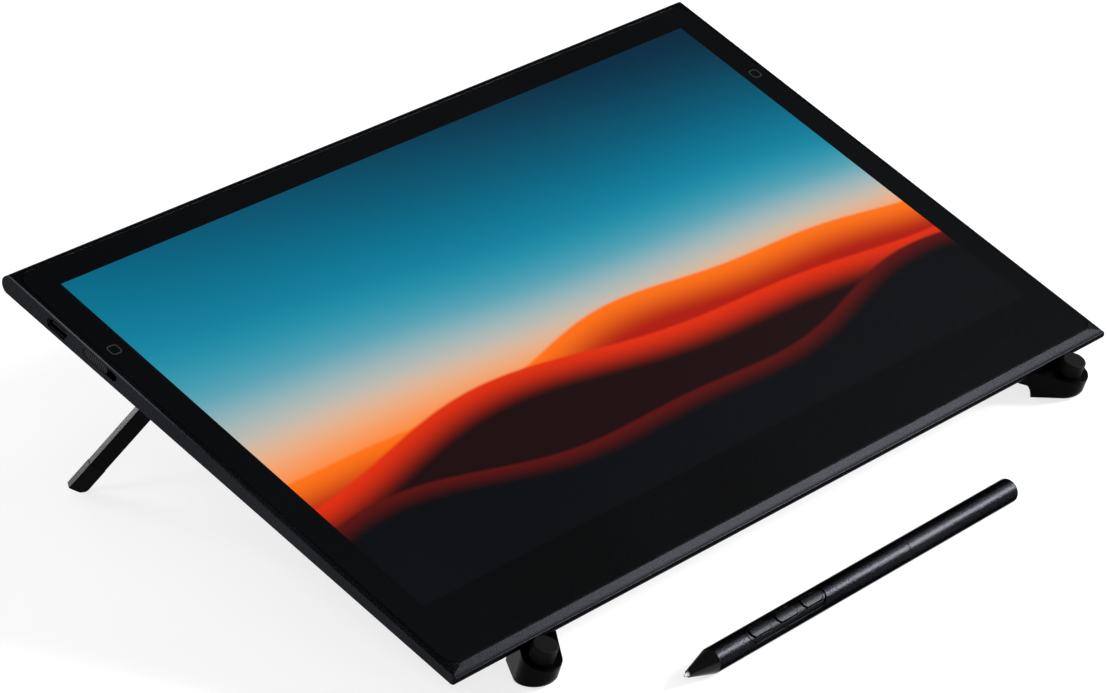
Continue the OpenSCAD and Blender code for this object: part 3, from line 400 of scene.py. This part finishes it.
def screen(name):
    """Matte cover glass: black border, two outlined touch keys and the lit picture."""
    g = Graph(name)
    place = g.place()
    x = g.vector("DOT_PRODUCT", place, tuple(SIDE_AXIS))
    y = g.vector("DOT_PRODUCT", place, tuple(BACK_AXIS))
    z = g.vector("DOT_PRODUCT", place, tuple(OUT_AXIS))

    # The picture area, on the upper face of the glass only
    middle = (ACTIVE_BACK + ACTIVE_FRONT) / 2
    in_x = g.math("LESS_THAN", g.math("ABSOLUTE", x), ACTIVE_W / 2)
    in_y = g.math("LESS_THAN", g.math("ABSOLUTE", g.math("SUBTRACT", y, middle)), ACTIVE_H / 2)
    on_top = g.math("GREATER_THAN", z, GLASS_TOP - GLASS_SKIN)
    shown = g.math("MULTIPLY", g.math("MULTIPLY", in_x, in_y), on_top)
    u = g.math("DIVIDE", x, ACTIVE_W)
    v = g.math("DIVIDE", g.math("SUBTRACT", y, ACTIVE_FRONT), ACTIVE_H)
    lit = g.mix(shown, (0, 0, 0, 1), landscape(g, place, u, v))

    # Black border with a faint mottling, and the key outlines on it
    cloud = g.noise(14, detail=2, vector=place)
    border = g.mix(g.spread(cloud, 0.35, 0.65, 0, 1), BORDER_DARK, BORDER_LIGHT)
    mark = g.math("MULTIPLY", key_outline(g, x, y), on_top)
    etch = g.noise(1 / ETCH_GRAIN, detail=2, vector=place)
    return g.surface(
        Base_Color=g.mix(g.math("MULTIPLY", mark, KEY_STRENGTH), border, KEY_GREY),
        Roughness=g.speckle(etch, 0.24, 0.34),
        Specular_IOR_Level=0.07,
        Emission_Color=lit,
        Emission_Strength=1.0,
        Normal=g.bump(etch, 0.05, 0.02 * MM, g.rounded(0.12 * MM)),
    )


materials = {
    # The housing's front nose gets painted shade (nose=True)
    "housing": grained("bead_blasted_metal", 0.010, 0.025, 0.5 * MM, 0.27, 0.06, metallic=1.0, blue=0.22,
                       edge=0.5, soft=0.1 * MM, nose=True),
    "rear_cover": grained("painted_sheet", 0.008, 0.018, 0.3 * MM, 0.42, 0.2, metallic=1.0, blue=0.15,
                          edge=0.5),
    "cover_glass": screen("etched_screen"),
    "rubber": grained("moulded_rubber", 0.003, 0.007, 0.35 * MM, 0.5, 0.3, blue=0.05, specular=0.04,
                      soft=0.3 * MM),
    "stand": grained("stand_moulding", 0.0018, 0.0045, 0.4 * MM, 0.34, 0.12, metallic=1.0, blue=0.08,
                     edge=0.65, soft=0.7 * MM),
    "leg": grained("leg_metal", 0.001, 0.0025, 0.25 * MM, 0.3, 0.12, metallic=1.0, blue=0.1, soft=0.2 * MM),
    "tip": grained("tip_rubber", 0.001, 0.0028, 0.4 * MM, 0.34, 0.2, metallic=1.0, blue=0.05, soft=0.3 * MM),
    "pen": grained("pen_satin", 0.006, 0.024, 0.45 * MM, 0.32, 0.3, metallic=1.0, blue=0.2, edge=0.3,
                   soft=0.15 * MM),
    "pen_key": grained("pen_key_satin", 0.005, 0.016, 0.4 * MM, 0.34, 0.3, metallic=1.0, blue=0.15, edge=0.4,
                       soft=0.2 * MM),
    "pen_nose": grained("pen_nose_gloss", 0.001, 0.002, 0.6 * MM, 0.2, 0.08, blue=0.1, specular=0.2),
    "nib": grained("nib_plastic", 0.5, 0.62, 0.5 * MM, 0.4, 0.1, blue=0.03),
    "power_key": ridged_key("power_key"),
    "port": brushed("plated_shell", (0.006, 0.006, 0.0065), 0.3),
    "steel": brushed("dark_steel", (0.2, 0.2, 0.21), 0.4),
    "foil": brushed("plated_foil", (0.5, 0.51, 0.52), 0.36),
    "board": board("solder_mask", (0.008, 0.06, 0.025, 1), (0.05, 0.2, 0.09, 1)),
    "flex": film("polyimide", (0.4, 0.18, 0.05), 3 * MM),
    "tape": film("black_tape", (0.012, 0.012, 0.012), 0.8 * MM),
    "bond": film("clear_bond", (0.55, 0.6, 0.64), 5 * MM),
    "panel": film("panel_layers", (0.06, 0.16, 0.22), 4 * MM),
    "inner": grained("inner_plastic", 0.012, 0.024, 0.4 * MM, 0.55, 0.25),
    "copper": wound("copper_winding"),
}

worn_by = {
    "housing": ["housing"],
    "rear_cover": ["rear_cover"],
    "cover_glass": ["cover_glass"],
    "rubber": [
        "rubber_feet", "front_left_stop", "front_right_stop", "front_left_sole", "front_right_sole",
        "upper_arm_pads", "lower_arm_pads",
    ],
    "stand": ["upper_arm", "lower_arm"],
    "leg": ["left_leg", "right_leg"],
    "tip": ["left_tip", "right_tip"],
    "pen": ["pen_front_barrel", "pen_rear_barrel", "pen_tail_cap"],
    "pen_key": ["pen_button_panel", "pen_button_front", "pen_button_middle", "pen_button_rear"],
    "pen_nose": ["pen_nose"],
    "nib": ["pen_nib"],
    "power_key": ["power_slider"],
    "port": ["usb_port_left", "usb_port_right"],
    "steel": ["housing_screws", "pivot_pin", "pivot_cap", "left_hinge_pin", "right_hinge_pin"],
    "foil": ["shield_plate", "board_shield", "pen_switches"],
    "board": ["main_board", "pen_sensor_board", "pen_board"],
    "flex": ["panel_flex", "touch_key_left", "touch_key_right"],
    "tape": ["glass_adhesive"],
    "bond": ["optical_bond"],
    "panel": ["display_panel"],
    "inner": ["power_switch", "pivot_washer", "pen_ferrite", "pen_pressure_sensor"],
    "copper": ["pen_coil"],
}


def wear(mesh, material):
    mesh.materials.clear()
    mesh.materials.append(material)


def add(name, data):
    made = bpy.data.objects.new(name, data)
    bpy.context.scene.collection.objects.link(made)
    return made


# Housing as shown: its strip in front of the glass falls towards the rounded front edge.
# The imported normals go, because they belong to the flat strip.
shown_mesh = nodes["housing"].data.copy()
if "custom_normal" in shown_mesh.attributes:
    shown_mesh.attributes.remove(shown_mesh.attributes["custom_normal"])
for vert in shown_mesh.vertices:
    drop = (GLASS_FRONT - STRIP_RIM - vert.co.dot(BACK_AXIS)) * math.tan(STRIP_SLOPE)
    over = vert.co.dot(OUT_AXIS) - (GLASS_TOP - drop)
    if drop > 0 and over > 0:
        vert.co -= OUT_AXIS * over
for face in shown_mesh.polygons:
    face.use_smooth = face.normal.dot(OUT_AXIS) < math.cos(FLAT_SHADED)
shown_housing = add("housing_shown", shown_mesh)
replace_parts(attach(shown_housing, "display"), "housing")
wear(shown_mesh, materials["housing"])

for key, names in worn_by.items():
    for name in names:
        wear(nodes[name].data, materials[key])

cam_data = bpy.data.cameras.new("camera")
cam_data.sensor_width = SENSOR_WIDTH
cam_data.lens = CAMERA_LENS
cam_data.clip_start = CLIP_NEAR
cam_data.clip_end = CLIP_FAR
cam = add("camera", cam_data)
ahead = CAMERA_AHEAD.normalized()
right = (CAMERA_RIGHT - ahead * CAMERA_RIGHT.dot(ahead)).normalized()
up = right.cross(ahead)
turned = Matrix((right, up, -ahead)).transposed().to_4x4()
cam.matrix_world = Matrix.Translation(CAMERA_PLACE) @ turned
bpy.context.scene.camera = cam

for name, place, aim, size, power, in_gloss in LAMPS:
    light = bpy.data.lights.new(name, "AREA")
    light.shape = "RECTANGLE"
    light.size, light.size_y = size
    light.energy = power
    lamp = add(name, light)
    lamp.location = place
    lamp.rotation_euler = (Vector(aim) - Vector(place)).to_track_quat("-Z", "Y").to_euler()
    lamp.visible_glossy = in_gloss

# Floor, large enough to fill the camera's view. It glows only where it is seen, in gloss and through glass too.
floor_mesh = bpy.data.meshes.new("floor")
corners = [(x * FLOOR_HALF, y * FLOOR_HALF, 0) for x, y in ((-1, -1), (1, -1), (1, 1), (-1, 1))]
floor_mesh.from_pydata(corners, [], [(0, 1, 2, 3)])
floor = add("floor", floor_mesh)
floor.location.z = -FLOOR_GAP
paper = Graph("pale_paper")
fibre = paper.noise(900, detail=2)
path = paper.node("ShaderNodeLightPath").outputs
seen = paper.math("MAXIMUM", path["Is Camera Ray"], path["Is Glossy Ray"])
seen = paper.math("MAXIMUM", seen, path["Is Transmission Ray"])
paper.surface(
    Base_Color=paper.mix(paper.speckle(fibre), grey(PAPER_DARK), grey(PAPER_LIGHT)),
    Roughness=0.9,
    Specular_IOR_Level=0.1,
    Emission_Color=(1, 1, 1, 1),
    Emission_Strength=paper.math("MULTIPLY", seen, PAPER_GLOW),
)
floor_mesh.materials.append(paper.material)

world = bpy.data.worlds.new("studio")
bpy.context.scene.world = world
world.use_nodes = True
background = world.node_tree.nodes["Background"].inputs
background["Color"].default_value = (1, 1, 1, 1)
background["Strength"].default_value = WORLD_LIGHT

bpy.context.scene.view_settings.view_transform = "Standard"
